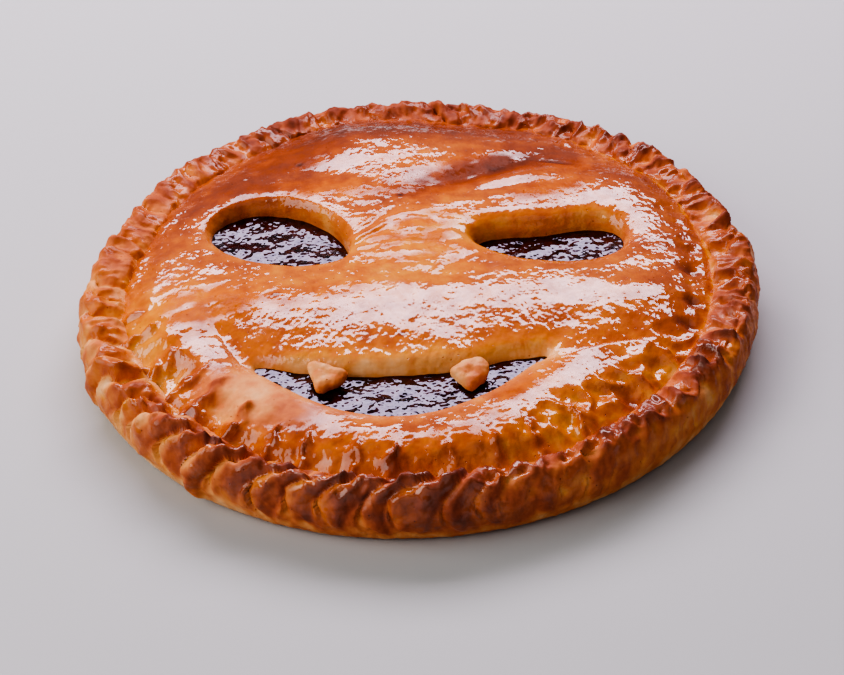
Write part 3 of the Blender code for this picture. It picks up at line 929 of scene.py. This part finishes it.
def fang(name, corners, seed, finish):
    """A small pillow of dough with a rounded outline, its back edge raised towards the lip."""
    loop = np.array(corners, float)
    middle = loop.mean(axis=0)
    turn = np.linspace(0, 2 * math.pi, FANG_STEPS, endpoint=False)
    way = np.stack([np.cos(turn), np.sin(turn)], axis=1)
    edge = fang_edge(loop, middle, way)
    ring_angles = np.linspace(0, math.pi, FANG_RINGS)
    polar, step = np.tile(ring_angles, FANG_STEPS), np.repeat(np.arange(FANG_STEPS), FANG_RINGS)
    flat = np.sin(polar) ** 0.75
    x, y = edge[step] * flat * way[step, 0], edge[step] * flat * way[step, 1]
    z = FANG_HALF_THICKNESS * np.sign(np.cos(polar)) * np.abs(np.cos(polar)) ** 0.85
    place = np.stack([x, y, z], axis=1)
    grow = 1 + 0.07 * layered(place, 6, seed)
    x, y = x * grow, y * grow
    z = z * grow + FANG_TILT * y + 0.35 * layered(place, 4, seed + 5, 2) - swelled(x, y, [FANG_DIMPLE])
    quads = wrapped_quads(FANG_STEPS, FANG_RINGS)
    bake_and_shade = 0.17 + 0.12 * eased(-2, 3, z - 0.5 * y) + 0.16 * eased(0, 8, x - y)
    bake_and_shade += 0.10 * layered(place, 5, seed + 9)
    glaze = np.full_like(x, 0.12)
    values = {"bake_and_shade": bake_and_shade, "glaze": glaze, "shine": glaze}
    return mesh_piece(name, x + middle[0], y + middle[1], z + FANG_HEIGHT, quads, values, finish)


# -------- materials


def shader_tree(name):
    """A new material, its node tree and its shader."""
    made = bpy.data.materials.new(name)
    made.use_nodes = True
    tree = made.node_tree
    return made, tree, tree.nodes["Principled BSDF"]


def settle(node, **values):
    """Sets a node's own settings and its input sockets by name."""
    for key, value in values.items():
        if hasattr(node, key):
            setattr(node, key, value)
        else:
            node.inputs[key.replace("_", " ")].default_value = value


def add(tree, kind, **values):
    node = tree.nodes.new(kind)
    settle(node, **values)
    return node


def maths(tree, operation, first, second):
    """The result of an operation on two values, each a number or a socket."""
    node = add(tree, "ShaderNodeMath", operation=operation)
    for socket, value in zip(node.inputs, (first, second)):
        if isinstance(value, (int, float)):
            socket.default_value = value
        else:
            tree.links.new(value, socket)
    return node.outputs[0]


def place_of(tree, stretch=(1, 1, 1)):
    """The place of each point on its object, in metres, times a stretch."""
    coordinates = add(tree, "ShaderNodeTexCoord")
    mapping = add(tree, "ShaderNodeMapping", Scale=stretch)
    tree.links.new(coordinates.outputs["Object"], mapping.inputs["Vector"])
    return mapping.outputs["Vector"]


def noise(tree, scale, detail=3, stretch=(1, 1, 1), roughness=0.5):
    made = add(tree, "ShaderNodeTexNoise", Scale=scale, Detail=detail, Roughness=roughness)
    tree.links.new(place_of(tree, stretch), made.inputs["Vector"])
    return made.outputs["Fac"]


def ranged(tree, value, low, high, to_low=0.0, to_high=1.0):
    """Goes smoothly from to_low to to_high while the value goes from low to high."""
    node = add(tree, "ShaderNodeMapRange", interpolation_type="SMOOTHSTEP")
    settle(node, From_Min=low, From_Max=high, To_Min=to_low, To_Max=to_high)
    tree.links.new(value, node.inputs["Value"])
    return node.outputs["Result"]


def pores(tree, scale, radius, share):
    """1 in small round pores, one in each of a share of the cells."""
    cells = add(tree, "ShaderNodeTexVoronoi", Scale=scale)
    tree.links.new(place_of(tree), cells.inputs["Vector"])
    split = add(tree, "ShaderNodeSeparateColor")
    tree.links.new(cells.outputs["Color"], split.inputs["Color"])
    chosen = ranged(tree, split.outputs["Red"], share, share + 0.02, 1, 0)
    pit = ranged(tree, cells.outputs["Distance"], radius * 0.4, radius, 1, 0)
    return maths(tree, "MULTIPLY", pit, chosen)


# Colours by how far the crust has browned, with painted light and shade mixed into the same value, under the
# glaze and bare.
GLAZED_COLOURS = (
    (0.00, (0.76, 0.47, 0.25)),
    (0.14, (0.70, 0.35, 0.120)),
    (0.27, (0.65, 0.250, 0.030)),
    (0.40, (0.55, 0.150, 0.021)),
    (0.53, (0.40, 0.088, 0.017)),
    (0.67, (0.26, 0.052, 0.015)),
    (0.82, (0.17, 0.038, 0.015)),
    (1.00, (0.08, 0.021, 0.012)),
)
BARE_COLOURS = (
    (0.00, (0.82, 0.54, 0.30)),
    (0.14, (0.75, 0.425, 0.21)),
    (0.27, (0.67, 0.295, 0.115)),
    (0.40, (0.56, 0.180, 0.065)),
    (0.53, (0.41, 0.108, 0.048)),
    (0.67, (0.27, 0.066, 0.034)),
    (0.82, (0.13, 0.032, 0.020)),
    (1.00, (0.05, 0.017, 0.012)),
)
JAM_COLOURS = (
    (0.35, (0.006, 0.0012, 0.001)),
    (0.75, (0.060, 0.007, 0.004)),
)


def ramp_of(tree, value, colours):
    """The colour of a value by a list of places and colours."""
    ramp = add(tree, "ShaderNodeValToRGB")
    stops = ramp.color_ramp.elements
    while len(stops) < len(colours):
        stops.new(0.5)
    for stop, (place, colour) in zip(stops, colours):
        stop.position = place
        stop.color = (*colour, 1)
    tree.links.new(value, ramp.inputs["Fac"])
    return ramp.outputs["Color"]


def bumped(tree, height, *normals):
    """Leads a height in millimetres into the given normals as bump."""
    bump = add(tree, "ShaderNodeBump", Strength=1.0, Distance=1.0 * MM)
    tree.links.new(height, bump.inputs["Height"])
    for normal in normals:
        tree.links.new(bump.outputs["Normal"], normal)


def crust_material():
    made, tree, shader = shader_tree("glazed_crust")
    link = tree.links.new
    kept = (add(tree, "ShaderNodeAttribute", attribute_name=key) for key in ("bake_and_shade", "glaze", "shine"))
    browned_and_shaded, glazed, shine = (node.outputs["Fac"] for node in kept)
    blotch = maths(tree, "MULTIPLY", maths(tree, "SUBTRACT", noise(tree, 170, 5), 0.5), 0.34)
    pore = pores(tree, 330, 0.14, 0.28)
    # The pores are painted darker, as painted shade inside them, besides sinking in the bump below.
    shade = maths(tree, "ADD", maths(tree, "ADD", browned_and_shaded, blotch), maths(tree, "MULTIPLY", pore, 0.16))
    mixed = add(tree, "ShaderNodeMix", data_type="RGBA")
    link(glazed, mixed.inputs["Factor"])
    link(ramp_of(tree, shade, BARE_COLOURS), mixed.inputs["A"])
    link(ramp_of(tree, shade, GLAZED_COLOURS), mixed.inputs["B"])
    link(mixed.outputs["Result"], shader.inputs["Base Color"])
    # The dough itself is matt. The glaze is a coat over it, duller where it is thin.
    settle(shader, Roughness=0.5, Specular_IOR_Level=0.05, Coat_IOR=1.65, Coat_Roughness=0.1)
    patchy = ranged(tree, noise(tree, 120, 4, roughness=0.6), 0.38, 0.66, 1.0, 0.7)
    link(maths(tree, "MULTIPLY", shine, patchy), shader.inputs["Coat Weight"])
    smudges = ranged(tree, noise(tree, 50, 3), 0.45, 0.72, 0.03, 0.15)
    thin_glaze = ranged(tree, glazed, 0.2, 0.9, 0.26, 0)
    link(maths(tree, "ADD", smudges, thin_glaze), shader.inputs["Coat Roughness"])
    fine = maths(tree, "MULTIPLY", noise(tree, 300, 1.3, (1.2, 0.9, 1), 0.5), 0.52)
    micro = maths(tree, "MULTIPLY", noise(tree, 900, 1), 0.012)
    uneven = ranged(tree, noise(tree, 36, 2), 0.35, 0.65, 0.6, 1.2)
    grain = maths(tree, "MULTIPLY", maths(tree, "ADD", fine, micro), uneven)
    height = maths(tree, "SUBTRACT", grain, maths(tree, "MULTIPLY", pore, 0.25))
    bumped(tree, height, shader.inputs["Normal"], shader.inputs["Coat Normal"])
    return made


def jam_material():
    made, tree, shader = shader_tree("dark_jam")
    tree.links.new(ramp_of(tree, noise(tree, 260, 4), JAM_COLOURS), shader.inputs["Base Color"])
    settle(shader, Roughness=0.09, IOR=1.72, Specular_Tint=(0.48, 0.47, 0.64, 1))
    waves = noise(tree, 290, 1.0, (1.15, 0.9, 1), 0.5)
    bumped(tree, maths(tree, "MULTIPLY", waves, 0.88), shader.inputs["Normal"])
    return made


# -------- stage, light and camera

FLOOR_SIZE = 6


def camera():
    data = bpy.data.cameras.new("camera")
    data.sensor_width = SENSOR_WIDTH
    data.lens = FOCAL_PIXELS / IMAGE_SIZE[0] * SENSOR_WIDTH
    data.clip_start = 0.01
    eye = placed("camera", data)
    forward = Vector((0, math.cos(CAMERA_ELEVATION), -math.sin(CAMERA_ELEVATION)))
    up = Vector((0, math.sin(CAMERA_ELEVATION), math.cos(CAMERA_ELEVATION)))
    right = Vector((1, 0, 0))
    level = Matrix((right, up, -forward)).transposed()
    rolled = level @ Matrix.Rotation(-CAMERA_ROLL, 3, "Z")
    # Turned from the target so that it lies off the middle of the picture, as in the photo.
    yaw = math.atan2(TARGET_PIXEL[0] - IMAGE_SIZE[0] / 2, FOCAL_PIXELS)
    pitch = math.atan2(TARGET_PIXEL[1] - IMAGE_SIZE[1] / 2, FOCAL_PIXELS)
    aimed = rolled @ Matrix.Rotation(yaw, 3, "Y") @ Matrix.Rotation(pitch, 3, "X")
    eye.matrix_world = Matrix.Translation(TARGET - CAMERA_DISTANCE * forward) @ aimed.to_4x4()
    bpy.context.scene.camera = eye


def softbox(name, azimuth, elevation, distance, width, height, brightness, colour=(1, 1, 1)):
    """A rectangle of light that faces the pie. brightness is what a mirror would show of it."""
    data = bpy.data.lights.new(name, "AREA")
    data.shape = "RECTANGLE"
    data.size, data.size_y = width, height
    data.energy = brightness * math.pi * width * height
    data.color = colour
    lamp = placed(name, data)
    around, up = math.radians(azimuth), math.radians(elevation)
    way = Vector((math.cos(around) * math.cos(up), math.sin(around) * math.cos(up), math.sin(up)))
    lamp.location = TARGET + distance * way
    lamp.rotation_euler = way.to_track_quat("Z", "Y").to_euler()


def stage():
    bpy.ops.mesh.primitive_plane_add(size=FLOOR_SIZE)
    floor = bpy.context.object
    floor.name = "floor"
    made, _, shader = shader_tree("pale_floor")
    settle(shader, Base_Color=(0.45, 0.45, 0.45, 1), Roughness=0.8)
    floor.data.materials.append(made)
    world = bpy.data.worlds.new("studio")
    bpy.context.scene.world = world
    world.use_nodes = True
    settle(world.node_tree.nodes["Background"], Color=(0.9, 0.93, 1, 1), Strength=0.17)
    softbox("back_softbox", 90, 47.5, 1.3, 1.55, 0.57, 9.4, (1.0, 0.88, 1.01))
    softbox("left_fill", 196, 34, 1.8, 1.5, 1.4, 3.4, (1, 0.97, 0.93))
    softbox("top_fill", 262, 62, 1.8, 1.8, 1.2, 0.4)
    softbox("front_fill", 262, 14, 1.8, 1.6, 0.9, 0.45)


def dress(piece, slot, *nodes):
    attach(piece, "root")
    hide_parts(*nodes)


camera()
stage()
crust = crust_material()
dress(top_crust(crust), "browned_crust", "top_crust")
dress(bottom_crust(crust), "golden_crust", "bottom_crust")
dress(jam(jam_material()), "jam", "filling")
dress(fang("left_fang_dough", LEFT_FANG, 201, crust), "pale_dough", "left_fang")
dress(fang("right_fang_dough", RIGHT_FANG, 231, crust), "pale_dough", "right_fang")

view = bpy.context.scene.view_settings
view.view_transform = "AgX"
view.look = "AgX - High Contrast"

bpy.context.view_layer.update()
